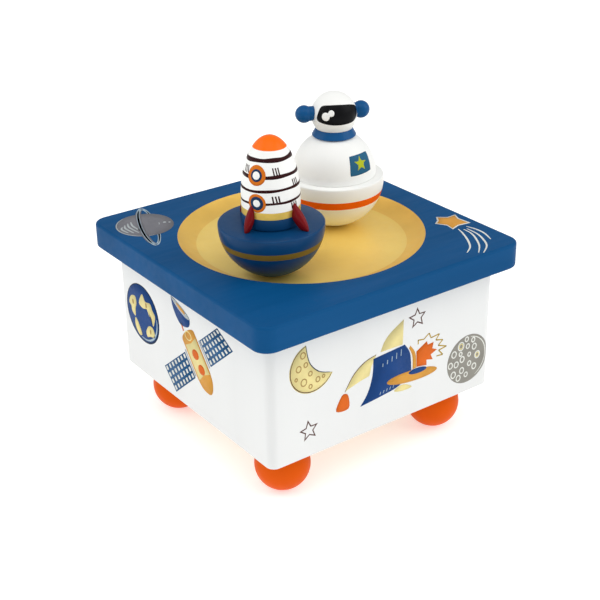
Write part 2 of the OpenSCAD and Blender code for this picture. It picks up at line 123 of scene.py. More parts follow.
def spline(points, closed=False, steps=6):
    """Catmull-Rom curve through 2-D points."""
    count = len(points)
    spans = count if closed else count - 1
    out = []
    for i in range(spans):
        if closed:
            p0, p1, p2, p3 = (points[(i + k) % count] for k in (-1, 0, 1, 2))
        else:
            p0, p1, p2, p3 = (points[min(max(i + k, 0), count - 1)] for k in (-1, 0, 1, 2))
        for j in range(steps):
            t = j / steps
            out.append(tuple(smooth(a, b, c, d, t) for a, b, c, d in zip(p0, p1, p2, p3)))
    if not closed:
        out.append(tuple(points[-1]))
    return out


def soften(corners, hold=0.2, steps=5):
    """Rounds the corners of an open outline. A corner is (x, y) or (x, y, radius), and each rounded
    corner gets a point a little before and after it, so that smooth shading stays close to the edge."""
    out = []
    for i, corner in enumerate(corners):
        here = Vector(corner[:2])
        if len(corner) < 3:
            out.append(tuple(here))
            continue
        back = Vector(corners[i - 1][:2]) - here
        ahead = Vector(corners[i + 1][:2]) - here
        room = 0.45 * min(back.length, ahead.length)
        back.normalize()
        ahead.normalize()
        half = back.angle(ahead) / 2
        reach = min(corner[2] / tan(half), room)
        radius = reach * tan(half)
        centre = here + (back + ahead).normalized() * (radius / sin(half))
        first = here + back * reach - centre
        last = here + ahead * reach - centre
        turn = first.angle_signed(last)
        if room > reach + hold:
            out.append(tuple(here + back * (reach + hold)))
        for j in range(steps + 1):
            a = -turn * j / steps
            spin = Vector((first.x * cos(a) - first.y * sin(a), first.x * sin(a) + first.y * cos(a)))
            out.append(tuple(centre + spin))
        if room > reach + hold:
            out.append(tuple(here + ahead * (reach + hold)))
    return out


def square_loop(half, corner, z, side_steps=36, corner_steps=8):
    """Rounded square round the Z axis, counter-clockwise from the middle of the front-right corner."""
    loop = []
    inner = half - corner
    for quarter in range(4):
        start = quarter * 90 - 90
        a = radians(start + 45)
        cx = inner * sqrt(2) * cos(a)
        cy = inner * sqrt(2) * sin(a)
        loop += arc((cx, cy), corner, start, start + 90, corner_steps)
        b = radians(start + 90)
        for i in range(1, side_steps):
            run = 2 * inner * i / side_steps
            loop.append((cx + corner * cos(b) - run * sin(b), cy + corner * sin(b) + run * cos(b)))
    return [(x, y, z) for x, y in loop]


# ---------------------------------------------------------------- meshes

def put(name, data):
    """Adds an object to the scene."""
    thing = bpy.data.objects.new(name, data)
    bpy.context.scene.collection.objects.link(thing)
    return thing


class Shape:
    """Rows of points in millimetres that become one piece."""

    def __init__(self):
        self.points = []
        self.faces = []
        self.paints = []

    def grid(self, rows, paint_of_row=None, closed=True, looped=False):
        """Joins rows with equal numbers of points.

        closed joins each row's ends, and looped joins the last row to the first.
        """
        start = len(self.points)
        width = len(rows[0])
        for row in rows:
            self.points += [tuple(p) for p in row]
        for r in range(len(rows) if looped else len(rows) - 1):
            a = start + r * width
            b = start + (r + 1) % len(rows) * width
            for i in range(width if closed else width - 1):
                j = (i + 1) % width
                self.faces.append((a + i, a + j, b + j, b + i))
                self.paints.append(paint_of_row(r) if paint_of_row else 0)

    def lathe(self, profile, centre, paint_of=None):
        """Turns (radius, height) points round a vertical axis."""
        rows = [[(x, y, z) for x, y in oval(centre, r, r, ROUND)] for r, z in profile]

        def paint_of_row(row):
            (r0, z0), (r1, z1) = profile[row], profile[row + 1]
            return paint_of((r0 + r1) / 2, (z0 + z1) / 2) if paint_of else 0

        self.grid(rows, paint_of_row)

    def moved(self, matrix):
        """Takes every point through a matrix."""
        self.points = [tuple(matrix @ Vector(p)) for p in self.points]

    def make(self, name, body, slot, paints, nodes=()):
        """The finished piece, which rides on a body and stands for the CAD nodes named."""
        mesh = bpy.data.meshes.new(name)
        mesh.from_pydata([[c * MM for c in p] for p in self.points], [], self.faces)
        mesh.polygons.foreach_set("material_index", self.paints)
        mesh.polygons.foreach_set("use_smooth", [True] * len(self.faces))
        for paint in paints:
            mesh.materials.append(paint)
        work = bmesh.new()
        work.from_mesh(mesh)
        bmesh.ops.remove_doubles(work, verts=work.verts, dist=1e-7)
        bmesh.ops.recalc_face_normals(work, faces=work.faces)
        work.to_mesh(mesh)
        work.free()
        piece = put(name, mesh)
        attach(piece, body)
        if nodes:
            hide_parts(*nodes)


def turned(name, body, slot, paints, node, profile, centre, paint_of=None):
    """A piece turned round a vertical axis, which stands for one CAD node."""
    shape = Shape()
    shape.lathe(profile, centre, paint_of)
    shape.make(name, body, slot, paints, [node])


# ---------------------------------------------------------------- materials

def noise(tree, scale, detail=3.0, stretch=(1, 1, 1)):
    """Noise in the piece's own coordinates."""
    coords = tree.nodes.new("ShaderNodeTexCoord")
    mapping = tree.nodes.new("ShaderNodeMapping")
    mapping.inputs["Scale"].default_value = stretch
    texture = tree.nodes.new("ShaderNodeTexNoise")
    texture.inputs["Scale"].default_value = scale
    texture.inputs["Detail"].default_value = detail
    tree.links.new(coords.outputs["Object"], mapping.inputs["Vector"])
    tree.links.new(mapping.outputs["Vector"], texture.inputs["Vector"])
    return texture.outputs["Fac"]


def ramp(tree, value, stops):
    """Colour ramp from (place, colour) stops."""
    node = tree.nodes.new("ShaderNodeValToRGB")
    elements = node.color_ramp.elements
    while len(elements) < len(stops):
        elements.new(0.5)
    for element, (place, colour) in zip(elements, stops):
        element.position = place
        element.color = (*colour, 1)
    tree.links.new(value, node.inputs["Fac"])
    return node.outputs["Color"]


def spread(tree, value, low, high):
    """A value from about the middle of the noise, stretched between two numbers."""
    node = tree.nodes.new("ShaderNodeMapRange")
    node.inputs["From Min"].default_value = 0.3
    node.inputs["From Max"].default_value = 0.7
    node.inputs["To Min"].default_value = low
    node.inputs["To Max"].default_value = high
    tree.links.new(value, node.inputs["Value"])
    return node.outputs["Result"]


def finish(name, colour, rough, vary=0.12, blotch=55, grain=(1, 1, 1), grain_scale=420,
           relief=0.25, depth=0.05, metallic=0.0, coat=0.0, specular=0.25):
    """One surface: colour that wanders a little, uneven gloss, and a fine relief along the grain."""
    material = bpy.data.materials.new(name)
    material.use_nodes = True
    tree = material.node_tree
    shader = tree.nodes["Principled BSDF"]
    shader.inputs["Metallic"].default_value = metallic
    shader.inputs["Coat Weight"].default_value = coat
    shader.inputs["Coat Roughness"].default_value = 0.2
    shader.inputs["Specular IOR Level"].default_value = specular
    cloud = noise(tree, blotch, 4.0, grain)
    dark = [c * (1 - vary) for c in colour]
    light = [min(c * (1 + vary) + 0.002, 1) for c in colour]
    tree.links.new(ramp(tree, cloud, [(0.3, dark), (0.7, light)]), shader.inputs["Base Color"])
    fine = noise(tree, grain_scale, 4.0, grain)
    tree.links.new(spread(tree, fine, rough * 0.85, rough * 1.15), shader.inputs["Roughness"])
    bump = tree.nodes.new("ShaderNodeBump")
    bump.inputs["Strength"].default_value = relief
    bump.inputs["Distance"].default_value = depth * MM
    tree.links.new(fine, bump.inputs["Height"])
    tree.links.new(bump.outputs["Normal"], shader.inputs["Normal"])
    return material


def paint(name, colour, rough=0.36, vary=0.06, grain=(1, 1, 1), coat=0.0, specular=0.12):
    """Brushed or sprayed paint over wood."""
    return finish(name, colour, rough, vary, 60, grain, 380, 0.2, 0.04, coat=coat, specular=specular)


def ink(name, colour):
    """Printed colour on the painted panels."""
    return finish(name, colour, 0.5, 0.07, 160, grain_scale=900, relief=0.15, depth=0.02, specular=0.08)


def metal(name, colour, rough):
    """Bare metal with a drawn or brushed grain."""
    return finish(name, colour, rough, 0.05, 90, (1, 1, 0.06), 1500, 0.3, 0.02, metallic=1.0)


def wood(name, colour):
    """Plain timber with its grain along X."""
    return finish(name, colour, 0.62, 0.28, 300, (0.06, 1, 1), 900, 0.6, 0.08)


def gilt(name, colour, vary):
    """Gold paint with a soft metal sheen."""
    return finish(name, colour, 0.40, vary, 70, (1, 1, 1), 500, 0.25, 0.04, metallic=0.4)


BLUE = paint("paint_blue", (0.002, 0.072, 0.212), 0.45, 0.08, (0.12, 1, 1), specular=0.06)
WHITE = paint("paint_white", (0.79, 0.80, 0.795), 0.45, 0.015, (1, 1, 0.1))
FIGURE_WHITE = paint("paint_figure_white", (0.91, 0.915, 0.89), 0.34, 0.012, (1, 1, 0.2), 0.06)
FIGURE_BLUE = paint("paint_figure_blue", (0.001, 0.046, 0.142), 0.34, 0.08, (1, 1, 0.2), 0.05)
EAR_BLUE = paint("paint_ear_blue", (0.003, 0.082, 0.245), 0.34, 0.06, (1, 1, 0.2), 0.05)
ORANGE = paint("paint_orange", (0.72, 0.094, 0.0005), 0.42, 0.05, (1, 1, 0.2), specular=0.06)
CAP_ORANGE = paint("paint_cap_orange", (0.96, 0.155, 0.001), 0.34, 0.04, (1, 1, 0.3), 0.05)
BAND_ORANGE = paint("paint_band_orange", (0.85, 0.12, 0.001), 0.42, 0.08, specular=0.06)
RIM_ORANGE = paint("paint_rim_orange", (0.66, 0.165, 0.012), 0.42, 0.08, specular=0.06)
OCHRE = paint("paint_ochre", (0.19, 0.115, 0.014), 0.42, 0.18)
RED = paint("paint_red", (0.165, 0.002, 0.004), 0.36, 0.12, (1, 1, 0.2), 0.05)
MAROON = paint("paint_maroon", (0.030, 0.004, 0.005), 0.42, 0.15, specular=0.08)
NAVY = paint("paint_navy", (0.004, 0.032, 0.095), 0.36, 0.1)
VISOR = paint("paint_visor", (0.004, 0.004, 0.005), 0.38, 0.1, specular=0.08)
STAR_GREEN = paint("paint_star", (0.42, 0.47, 0.010), 0.40, 0.08)
FIGURE_GOLD = finish("paint_gold_ring", (0.66, 0.46, 0.09), 0.38, 0.12, 300, metallic=0.4)
GOLD = gilt("paint_gold_dish", (0.97, 0.70, 0.19), 0.05)
# darker, more orange gold for the dish's cove: painted shade standing for its shadowed inner wall
SHADED_COVE_GOLD = gilt("paint_gold_cove_painted_shade", (0.90, 0.58, 0.125), 0.07)

INKS = {
    "blue": ink("ink_blue", (0.012, 0.058, 0.215)),
    "cell": ink("ink_cell", (0.020, 0.100, 0.235)),
    "teal": ink("ink_teal", (0.022, 0.115, 0.215)),
    "navy": ink("ink_navy", (0.008, 0.030, 0.080)),
    "orange": ink("ink_orange", (0.67, 0.128, 0.012)),
    "amber": ink("ink_amber", (0.66, 0.315, 0.055)),
    "olive": ink("ink_olive", (0.50, 0.34, 0.06)),
    "straw": ink("ink_straw", (0.80, 0.69, 0.31)),
    "brown": ink("ink_brown", (0.095, 0.038, 0.028)),
    "tan": ink("ink_tan", (0.42, 0.28, 0.10)),
    "grey": ink("ink_grey", (0.275, 0.265, 0.235)),
    "stone": ink("ink_stone", (0.18, 0.18, 0.20)),
    "silver": ink("ink_silver", (0.42, 0.46, 0.47)),
    "pale": ink("ink_pale", (0.78, 0.79, 0.74)),
    "sky": ink("ink_sky", (0.38, 0.49, 0.57)),
}

FRAME_FINISHES = {
    "plain_wood": wood("plain_wood_finish", (0.62, 0.42, 0.22)),
    "steel": metal("steel_finish", (0.60, 0.61, 0.62), 0.28),
    "spring_steel": metal("spring_steel_finish", (0.33, 0.35, 0.39), 0.32),
    "brass": metal("brass_finish", (0.83, 0.60, 0.22), 0.26),
    "zinc": metal("zinc_finish", (0.55, 0.57, 0.58), 0.42),
    "magnet": metal("magnet_finish", (0.13, 0.13, 0.14), 0.5),
    "blue_paint": BLUE,
    "white_paint": WHITE,
    "orange_paint": ORANGE,
    "red_paint": RED,
}


def dress_frame():
    """Gives every CAD node the finish of its material slot."""
    for row in frame["record"]["subparts"]:
        mesh = frame["nodes"][row["node"]].data
        mesh.materials.clear()
        mesh.materials.append(FRAME_FINISHES[row["material_slot"]])


# ---------------------------------------------------------------- the case

def lid():
    """Lid with rounded edges, and a shallow round dish with a gilded inside, whose cove is painted a darker
    gold as painted shade.
    """
    margin = 4
    tightest = 3
    edge = soften([
        (margin, LID_BOTTOM), (0, LID_BOTTOM, 0.9), (0, LID_TOP, 1.0), (margin, LID_TOP),
    ])
    underside = square_loop(LID_HALF - margin, tightest, LID_BOTTOM)
    rows = [[(x * s, y * s, z) for x, y, z in underside] for s in (0, 0.5, 0.9)]
    rows += [square_loop(LID_HALF - d, max(LID_CORNER - d, tightest), z) for d, z in edge]
    outer = rows[-1]
    turns = [atan2(y, x) for x, y, z in outer]
    cove_w = DISH_R - DISH_FLOOR_R
    cove_r = (cove_w ** 2 + DISH_DEPTH ** 2) / (2 * DISH_DEPTH)
    floor_z = LID_TOP - DISH_DEPTH
    steepest = degrees(atan2(cove_w, cove_r - DISH_DEPTH))
    cove = arc((DISH_FLOOR_R, floor_z + cove_r), cove_r, -90 + steepest, -90, 14)
    rim = [(DISH_R + 3, LID_TOP), (DISH_R, LID_TOP, 0.35)]
    dish = soften(rim + cove[1:] + [(DISH_FLOOR_R * 0.9, floor_z)])
    dish += [(DISH_FLOOR_R * s, floor_z) for s in (0.6, 0.3, 0)]
    dish_edge = dish[0][0]
    for share in (0.35, 0.7):
        rows.append([
            (x + share * (dish_edge * cos(a) - x), y + share * (dish_edge * sin(a) - y), LID_TOP)
            for (x, y, z), a in zip(outer, turns)
        ])
    blue_rows_of_dish = 5
    first_gilt = len(rows) + blue_rows_of_dish
    first_flat = first_gilt + len(cove) - 2
    rows += [[(r * cos(a), r * sin(a), z) for a in turns] for r, z in dish]

    # rows of the cove take the darker gold, which is painted shade; the flat floor takes the plain gold
    def gilding(row):
        if row < first_gilt:
            return 0
        return 1 if row < first_flat else 2

    shape = Shape()
    shape.grid(rows, gilding)
    shape.make("lid", "case", "blue_paint", [BLUE, SHADED_COVE_GOLD, GOLD], ["lid_board"])


def case_shell():
    """Four panels painted over as one skin, with softened edges below."""
    top = LID_BOTTOM - 0.02
    halfway = (0, (top + CASE_BOTTOM) / 2)
    tightest = 0.3
    profile = soften([
        halfway, (0, CASE_BOTTOM, 0.8), (BOARD, CASE_BOTTOM, 0.3),
        (BOARD, top, 0.1), (0, top, 0.1), halfway,
    ])[:-1]
    loops = [square_loop(CASE_HALF - d, max(CASE_CORNER - d, tightest), z) for d, z in profile]
    shape = Shape()
    shape.grid(loops, looped=True)
    shape.make("case_shell", "case", "white_paint", [WHITE],
               ["front_panel", "back_panel", "left_panel", "right_panel"])


def feet():
    """Turned ball feet, flat where they stand and where they meet the case."""
    flat = 2.0
    for node in ("foot_front_left", "foot_front_right", "foot_back_left", "foot_back_right"):
        low, high = box(node)
        radius = (high.x - low.x) / 2
        centre_z = sqrt(radius ** 2 - flat ** 2)
        top_r = sqrt(radius ** 2 - (high.z - centre_z) ** 2)
        first = degrees(atan2(-centre_z, flat))
        last = degrees(atan2(high.z - centre_z, top_r))
        ball = arc((0, centre_z), radius, first, last, 34)
        profile = soften([(0, 0), (flat, 0, 0.3)] + ball[1:-1] + [(top_r, high.z, 0.3), (0, high.z)])
        turned(node + "_ball", "case", "orange_paint", [ORANGE], node, profile, middle(node))


def winding_key():
    """Butterfly key: a turned hub with a rounded ring each side."""
    high = box("winding_key")[1]
    ring_r = 4.5
    wire = 1.5
    wire_depth = 0.9
    ring_x = high.x - ring_r - wire
    ring_z = 10.2
    hub_r = 3.6
    waist_r = hub_r - 0.5
    socket_r = 2.5
    foot = 5
    socket_end = 8
    shape = Shape()
    shape.lathe(soften([
        (0, foot), (hub_r, foot, 0.5), (hub_r, 7.2, 0.2), (waist_r, 7.7, 0.2), (waist_r, 12.9, 0.2),
        (hub_r, 13.4, 0.2), (hub_r, high.z, 0.4), (socket_r, high.z), (socket_r, socket_end),
        (0, socket_end),
    ]), (0, 0))
    section = oval((ring_r, 0), wire, wire_depth, 24)
    for side in (-1, 1):
        rows = []
        for i in range(64):
            a = tau * i / 64
            rows.append([(side * ring_x + out * cos(a), deep, ring_z + out * sin(a))
                         for out, deep in section])
        shape.grid(rows, looped=True)
    shape.make("key_butterfly", "arbor", "brass", [FRAME_FINISHES["brass"]], ["winding_key"])


# ---------------------------------------------------------------- figures

def figure_base(name, rim, centre, body, slot, paints, node, paint_of):
    """Turned half ball with a magnet's hole in its small flat and a softened rim."""
    hole_r = 3.05
    hole_z = FIGURE_FOOT + 2.6
    rise = rim - FIGURE_CENTRE
    first = degrees(atan2(FIGURE_FOOT - FIGURE_CENTRE, FIGURE_FLAT))
    last = degrees(atan2(rise, sqrt(FIGURE_R ** 2 - rise ** 2)))
    ball = arc((0, FIGURE_CENTRE), FIGURE_R, first, last, 96)
    hole = [(0, hole_z), (hole_r, hole_z), (hole_r, FIGURE_FOOT), (FIGURE_FLAT, FIGURE_FOOT, 0.15)]
    top = [(ball[-1][0], rim, 0.9), (12, rim), (0, rim)]
    turned(name, body, slot, paints, node, soften(hole + ball[1:-4] + top), centre, paint_of)


def band_between(low, high):
    """Paints a band between two heights on the outside of a base."""
    def zone(r, z):
        return int(low < z < high and r > FIGURE_FLAT)

    return zone


def rocket_bowl():
    """Blue base with a hand-painted ochre band."""
    figure_base("rocket_bowl", ROCKET_RIM, ROCKET, "rocket", "blue_paint",
                [FIGURE_BLUE, OCHRE], "rocket_base", band_between(86.8, 89.2))


def astronaut_bowl():
    """White base with an orange band."""
    figure_base("astronaut_bowl", ASTRONAUT_RIM, ASTRONAUT, "astronaut", "white_paint",
                [FIGURE_WHITE, BAND_ORANGE], "astronaut_base", band_between(86.9, 89.8))


rocket_low, rocket_high = box("rocket_body")
ROCKET_R = (rocket_high.x - rocket_low.x) / 2
ROCKET_STRAIGHT = 9.8  # height of the body's straight part, below the nose's curve
ROCKET_TIP = rocket_high.z - ROCKET_RIM - ROCKET_STRAIGHT
COLLAR_TOP = 98.6
RING_TOP = 101.0
CAP_FOOT = 121.7
FIN_AZIMUTH = 15.6
FIN_REACH = (14.0, 14.0, 14.0, 16.3)


def rocket_radius(z):
    """Radius of the rocket's body at a height."""
    above = z - ROCKET_RIM - ROCKET_STRAIGHT
    if above <= 0:
        return ROCKET_R
    return ROCKET_R * sqrt(max(0, 1 - (above / ROCKET_TIP) ** 2))


def rocket_hull():
    """White body with a blue collar, a gold ring and an orange nose."""
    bevel = 0.3
    step = 0.5
    heights = [ROCKET_RIM + bevel + i * step for i in range(int((ROCKET_STRAIGHT - bevel) / step))]
    ogive = [(ROCKET_R * cos(radians(a)), ROCKET_RIM + ROCKET_STRAIGHT + ROCKET_TIP * sin(radians(a)))
             for a in [i * 1.5 for i in range(61)]]
    profile = [(0, ROCKET_RIM), (ROCKET_R - bevel, ROCKET_RIM)] + [(ROCKET_R, z) for z in heights] + ogive

    def zone(r, z):
        if z < COLLAR_TOP:
            return 1
        if z < RING_TOP:
            return 2
        return 3 if z > CAP_FOOT else 0

    paints = [FIGURE_WHITE, FIGURE_BLUE, FIGURE_GOLD, CAP_ORANGE]
    turned("rocket_hull", "rocket", "white_paint", paints, "rocket_body", profile, ROCKET, zone)


def rocket_fins():
    """Four hand-shaped leaves that lean on the body, with their feet standing out on the base."""
    # height above the rim, share of the reach at the foot inside and outside, half thickness
    leaf = [(0.0, 0.50, 0.97, 0.40), (0.35, 0.38, 1.0, 0.75), (2.0, 0.10, 0.93, 1.2),
            (4.2, -0.12, 0.72, 1.5), (6.2, -0.12, 0.47, 1.25), (7.8, -0.12, 0.22, 0.85),
            (8.9, -0.12, 0.02, 0.45), (9.25, -0.12, -0.05, 0.05)]
    flatten = 0.8
    for number in range(4):
        turn = radians(FIN_AZIMUTH + 90 * number)
        foot = FIN_REACH[number] - ROCKET_R
        rows = []
        for up, inner, outer, half in spline(leaf, steps=5):
            mid = ROCKET_R + foot * (inner + outer) / 2
            deep = foot * (outer - inner) / 2
            row = []
            for c, s in oval((0, 0), 1, 1, 36):
                # flatter than an ellipse at the sides, so that the leaf keeps its thickness
                x = mid + deep * copysign(abs(c) ** flatten, c)
                y = half * copysign(abs(s) ** flatten, s)
                row.append((ROCKET[0] + x * cos(turn) - y * sin(turn),
                            ROCKET[1] + x * sin(turn) + y * cos(turn), ROCKET_RIM + up))
            rows.append(row)
        for row_end, at in ((0, 0), (-1, len(rows))):
            end = rows[row_end]
            middle_point = [sum(c) / len(end) for c in zip(*end)]
            rows.insert(at, [middle_point] * len(end))
        shape = Shape()
        shape.grid(rows)
        shape.make(f"fin_leaf_{number + 1}", "rocket", "red_paint", [RED], [f"rocket_fin_{number + 1}"])


DOME_R = (box("astronaut_dome")[1].x - box("astronaut_dome")[0].x) / 2
DOME_LIFT = 1          # the dome's centre stands this far above the base's rim
DOME_CENTRE = ASTRONAUT_RIM + DOME_LIFT
collar_low, collar_high = box("astronaut_collar")
head_low, head_high = box("astronaut_head")
HEAD_R = (head_high.x - head_low.x) / 2
HEAD_Z = head_high.z - HEAD_R


def astronaut_body():
    """Dome, blue collar and round white head."""
    rim = sqrt(DOME_R ** 2 - DOME_LIFT ** 2)
    rise = collar_low.z - DOME_CENTRE
    top_r = sqrt(DOME_R ** 2 - rise ** 2)
    dome = arc((0, DOME_CENTRE), DOME_R, degrees(atan2(-DOME_LIFT, rim)), degrees(atan2(rise, top_r)), 60)
    foot = [(0, ASTRONAUT_RIM), (rim, ASTRONAUT_RIM, 0.35)]
    torso = soften(foot + dome[2:] + [(0, collar_low.z)])
    turned("astronaut_torso", "astronaut", "white_paint", [FIGURE_WHITE], "astronaut_dome", torso, ASTRONAUT)

    cut = sqrt(HEAD_R ** 2 - (head_low.z - HEAD_Z) ** 2)
    collar_r = (collar_high.x - collar_low.x) / 2
    flare = 0.45
    neck = soften([
        (0, collar_low.z), (top_r, collar_low.z, 0.2), (collar_r, collar_low.z + flare, 0.3),
        (cut, collar_high.z, 0.3), (0, collar_high.z),
    ])
    turned("astronaut_neck_ring", "astronaut", "blue_paint", [EAR_BLUE], "astronaut_collar", neck, ASTRONAUT)

    skull = arc((0, HEAD_Z), HEAD_R, degrees(atan2(head_low.z - HEAD_Z, cut)), 90, 60)
    helmet = soften([(0, head_low.z), (cut, head_low.z, 0.2)] + skull[1:])
    turned("astronaut_helmet", "astronaut", "white_paint", [FIGURE_WHITE], "astronaut_head",
           helmet, ASTRONAUT)


def astronaut_ears():
    """Round pods on short stems."""
    pod_r = 3.25
    stem_r = 2.7
    stem_start = HEAD_R - 1.5
    first = degrees(atan2(-sqrt(pod_r ** 2 - stem_r ** 2), stem_r))
    for side, name, reach in ((-1, "right", 11.4), (1, "left", 10.3)):
        pod = arc((0, reach), pod_r, first, 90, 28)
        shape = Shape()
        shape.lathe(soften([(0, stem_start), (stem_r, stem_start), (*pod[0], 0.25)] + pod[1:]), (0, 0))
        place = Matrix.Translation((*ASTRONAUT, HEAD_Z + 0.9))
        turn = Matrix.Rotation(radians(FACING + side * 90), 4, "Z") @ Matrix.Rotation(radians(90), 4, "Y")
        shape.moved(place @ turn)
        shape.make(f"ear_pod_{name}", "astronaut", "blue_paint", [EAR_BLUE], [f"astronaut_ear_{name}"])


# ---------------------------------------------------------------- painted pictures

class Picture:
    """Flat shapes painted on a surface. surface takes (u, v, height above it) to a point."""

    def __init__(self, name, body, surface, slot, paints):
        self.name, self.body, self.surface, self.slot = name, body, surface, slot
        self.paints = paints
        self.shape = Shape()
        self.layer = 0
        self.offset = (0, 0)
        self.scale = 1.0

    def placed(self, point):
        """Scales and moves a 2-D point."""
        return self.offset[0] + point[0] * self.scale, self.offset[1] + point[1] * self.scale

    def slab(self, points, faces, colour):
        """A closed slab over 2-D points and faces, one layer of paint thick."""
        flat = [self.placed(p) for p in points]
        height = COAT * (1 + self.layer)
        start = len(self.shape.points)
        count = len(flat)
        self.shape.points += [self.surface(u, v, height) for u, v in flat]
        self.shape.points += [self.surface(u, v, -SUNK) for u, v in flat]
        edges = {}
        for face in faces:
            for a, b in zip(face, face[1:] + face[:1]):
                edges[(a, b)] = True
        out = [tuple(start + i for i in face) for face in faces]
        out += [tuple(start + count + i for i in reversed(face)) for face in faces]
        out += [(start + b, start + a, start + count + a, start + count + b)
                for a, b in edges if (b, a) not in edges]
        self.shape.faces += out
        self.shape.paints += [list(self.paints).index(colour)] * len(out)

    def blob(self, outline, colour, centre=None, rings=2):
        """Fills a shape that can be seen whole from its centre."""
        count = len(outline)
        if centre is None:
            centre = [sum(c) / count for c in zip(*outline)]
        points = [tuple(centre)]
        for ring in range(1, rings + 1):
            share = ring / rings
            points += [(centre[0] + share * (u - centre[0]), centre[1] + share * (v - centre[1]))
                       for u, v in outline]
        faces = [(0, 1 + i, 1 + (i + 1) % count) for i in range(count)]
        for ring in range(rings - 1):
            a = 1 + ring * count
            b = a + count
            faces += [(a + i, b + i, b + (i + 1) % count, a + (i + 1) % count) for i in range(count)]
        self.slab(points, faces, colour)

    def fill(self, outline, colour):
        """Fills any simple outline."""
        triangles = tessellate_polygon([[Vector((u, v, 0)) for u, v in outline]])
        faces = []
        for a, b, c in triangles:
            (ua, va), (ub, vb), (uc, vc) = outline[a], outline[b], outline[c]
            ahead = (ub - ua) * (vc - va) - (vb - va) * (uc - ua) > 0
            faces.append((a, b, c) if ahead else (a, c, b))
        self.slab(list(outline), faces, colour)

    def strip(self, one, other, colour, closed=False):
        """Fills between two lines with equal numbers of points."""
        count = len(one)
        points = list(one) + list(other)
        faces = []
        for i in range(count if closed else count - 1):
            j = (i + 1) % count
            faces.append((i, j, count + j, count + i))
        self.slab(points, faces, colour)

    def stroke(self, line, width, colour, closed=False, taper=False):
        """A brush line of a given width, thinner at its ends if taper is set."""
        count = len(line)
        left, right = [], []
        for i, (u, v) in enumerate(line):
            if closed:
                a, b = line[i - 1], line[(i + 1) % count]
            else:
                a, b = line[max(i - 1, 0)], line[min(i + 1, count - 1)]
            du, dv = b[0] - a[0], b[1] - a[1]
            length = hypot(du, dv) or 1.0
            half = width / 2
            if taper:
                half *= 0.25 + 0.75 * sin(pi * (0.08 + 0.84 * i / (count - 1)))
            nu, nv = -dv / length * half, du / length * half
            left.append((u + nu, v + nv))
            right.append((u - nu, v - nv))
        self.strip(left, right, colour, closed)

    def ring(self, centre, radius, width, colour, squash=1.0, steps=20):
        """A closed round line."""
        self.stroke(oval(centre, radius, radius * squash, steps), width, colour, closed=True)

    def disc(self, centre, radius, colour, squash=1.0, turn=0.0, steps=40, rings=2):
        """A filled circle, or an ellipse turned by degrees."""
        t = radians(turn)
        outline = [(centre[0] + u * cos(t) - v * sin(t), centre[1] + u * sin(t) + v * cos(t))
                   for u, v in oval((0, 0), radius, radius * squash, steps)]
        self.blob(outline, colour, centre, rings)

    def up(self, layers=1):
        """What is drawn next lies on top."""
        self.layer += layers

    def make(self):
        """The finished picture as one piece."""
        self.shape.make(self.name, self.body, self.slot, list(self.paints.values()))


def star(radius, inner, turn, seed):
    """Outline of a slightly uneven five-pointed star round the origin."""
    hand = random.Random(seed)
    outline = []
    for i in range(10):
        a = radians(turn + 36 * i)
        r = radius * (inner if i % 2 else 1) * (1 + 0.1 * (hand.random() - 0.5))
        outline.append((r * cos(a), r * sin(a)))
    return outline


def on_side(turn):
    """A side of the case, turned by degrees from the front, which carries on round the rounded corners."""
    flat = CASE_HALF - CASE_CORNER

    def surface(u, v, h):
        bend = copysign(min(max(abs(u) - flat, 0) / CASE_CORNER, pi / 2), u)
        along = min(max(u, -flat), flat) + (CASE_CORNER + h) * sin(bend)
        out = flat + (CASE_CORNER + h) * cos(bend)
        return along * cos(turn) + out * sin(turn), along * sin(turn) - out * cos(turn), v

    return surface


on_front, on_right, on_back, on_left = (on_side(radians(90 * i)) for i in range(4))


def on_lid(u, v, h):
    """The top of the lid."""
    return u, v, LID_TOP + h


def crescent(picture):
    """Cratered crescent moon of radius 1."""
    outer = arc((0, 0), 1, 106.5, 331.6, 30)
    inner = spline([(-0.29, 0.98), (-0.13, 0.24), (0.28, -0.25), (0.8, -0.46)], steps=10)
    picture.strip([(u * 1.04, v * 1.04) for u, v in outer], inner, "straw")
    picture.up()
    picture.stroke(outer, 0.035, "brown", taper=True)
    picture.stroke(inner, 0.035, "navy", taper=True)
    craters = [(-0.42, 0.62, 0.12), (-0.62, 0.12, 0.12), (-0.30, 0.20, 0.09), (-0.10, -0.22, 0.09),
               (-0.74, -0.28, 0.06), (-0.40, -0.50, 0.14), (0.24, -0.57, 0.10), (0.50, -0.52, 0.06),
               (-0.10, -0.76, 0.08)]
    for u, v, r in craters:
        picture.ring((u, v), r * 0.9, 0.045, "tan", 1.15)
    picture.up(-1)


def outline_star(picture, centre, radius, turn, seed):
    """Star drawn as a line."""
    corners = star(radius, 0.46, turn, seed)
    loops = [[(centre[0] + u * share, centre[1] + v * share) for u, v in corners] for share in (1.0, 0.74)]
    picture.strip(*loops, "brown", closed=True)


def grey_moon(picture):
    """Full moon of radius 1 with ringed craters and a lit rim."""
    picture.disc((0, 0), 1, "grey", steps=64, rings=20)
    picture.up()
    picture.stroke(arc((0, 0), 0.9, -62, 82, 24), 0.045, "pale", taper=True)
    craters = [(-0.34, 0.62, 0.14), (0, 0.53, 0.08), (0.33, 0.42, 0.10), (0.50, 0.02, 0.12),
               (-0.68, 0.38, 0.11), (-0.35, 0.30, 0.07), (0.09, 0.16, 0.07), (-0.26, 0.05, 0.10),
               (-0.84, -0.04, 0.10), (-0.55, -0.08, 0.10), (0.11, -0.23, 0.08), (0.36, -0.43, 0.10),
               (-0.26, -0.42, 0.10), (-0.04, -0.66, 0.08), (-0.68, -0.48, 0.11), (-0.42, -0.70, 0.10),
               (0.26, 0.72, 0.08), (-0.07, 0.84, 0.08)]
    for u, v, r in craters:
        picture.ring((u, v), r, 0.05, "pale", 1.2)
        if r > 0.11:
            picture.ring((u, v), r * 0.62, 0.035, "straw", 1.2)
    picture.up(-1)


